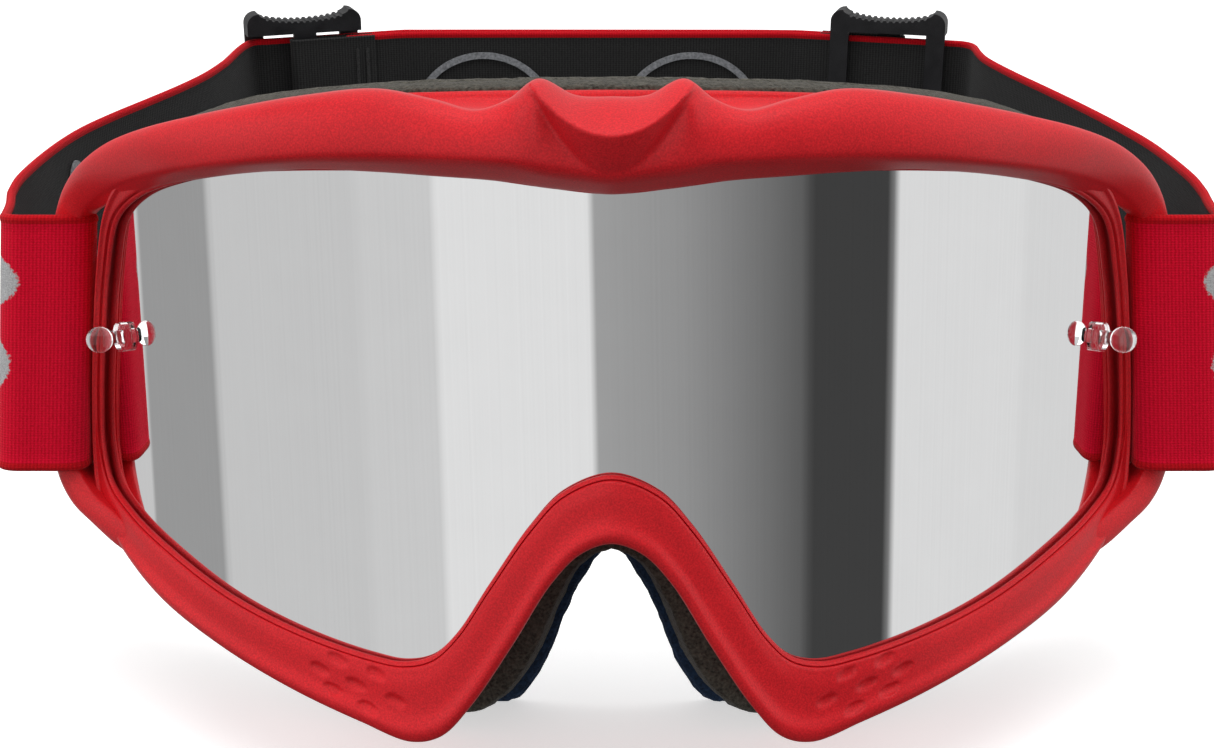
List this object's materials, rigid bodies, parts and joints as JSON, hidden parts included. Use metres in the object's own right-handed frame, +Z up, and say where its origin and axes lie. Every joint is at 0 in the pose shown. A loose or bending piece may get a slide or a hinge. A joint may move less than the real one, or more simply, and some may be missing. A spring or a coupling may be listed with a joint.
{
  "type": "off-road riding goggles",
  "caption": "Wide off-road riding goggles with a mirrored curved lens, layered face foam, tear-off posts and an adjustable elastic head strap on slider buckles.",
  "frame": {"origin": "centre of the face seal's rear surface, at the middle of the strap's height", "axes": "+X to the right as seen from the front, +Y towards the wearer's face, +Z up; the lens faces -Y"},
  "size_m": [0.2145, 0.2322, 0.1138],
  "materials": {
    "frame_plastic": "satin moulded",
    "lens_mirror": "silver mirror coating",
    "clear_plastic": "clear moulded",
    "foam_dark": "open-cell foam",
    "foam_mid": "open-cell foam",
    "fleece": "brushed fleece",
    "filter_foam": "coarse filter foam",
    "webbing": "knitted elastic",
    "tab_webbing": "knitted elastic",
    "thread": "polyester thread",
    "buckle_plastic": "fine texture",
    "silicone": "printed silicone"
  },
  "bodies": {
    "goggles": {"frame": "frame_plastic", "lens": "lens_mirror", "tearoff_post_left": "clear_plastic", "tearoff_post_right": "clear_plastic", "post_retainer_left": "clear_plastic", "post_retainer_right": "clear_plastic", "face_foam_base": "foam_dark", "face_foam_mid": "foam_mid", "face_fleece": "fleece", "vent_foam_top_left": "filter_foam", "vent_foam_top_right": "filter_foam", "vent_foam_bottom_left": "filter_foam", "vent_foam_bottom_right": "filter_foam", "strap_loop_left": "webbing", "strap_loop_right": "webbing", "loop_stitching_left": "thread", "loop_stitching_right": "thread"},
    "strap": {"strap_left": "webbing", "strap_right": "webbing", "silicone_grip_rear": "silicone", "silicone_grip_left": "silicone", "silicone_grip_right": "silicone"},
    "buckle_left": {"buckle_left": "buckle_plastic", "buckle_tab_left": "tab_webbing", "tab_stitching_left": "thread"},
    "buckle_right": {"buckle_right": "buckle_plastic", "buckle_tab_right": "tab_webbing", "tab_stitching_right": "thread"}
  },
  "joints": [
    {"name": "strap_tilt", "type": "hinge", "parent": "goggles", "child": "strap", "pos_m": [0, 0.016, 0], "axis": [1, 0, 0], "range_deg": [-20, 20]},
    {"name": "buckle_slide_left", "type": "slide", "parent": "strap", "child": "buckle_left", "axis": [0.9397, 0.3383, 0.0506], "range_m": [-0.006, 0.006]},
    {"name": "buckle_slide_right", "type": "slide", "parent": "strap", "child": "buckle_right", "axis": [-0.9613, 0.2726, 0.0407], "range_m": [-0.004, 0.006]}
  ]
}
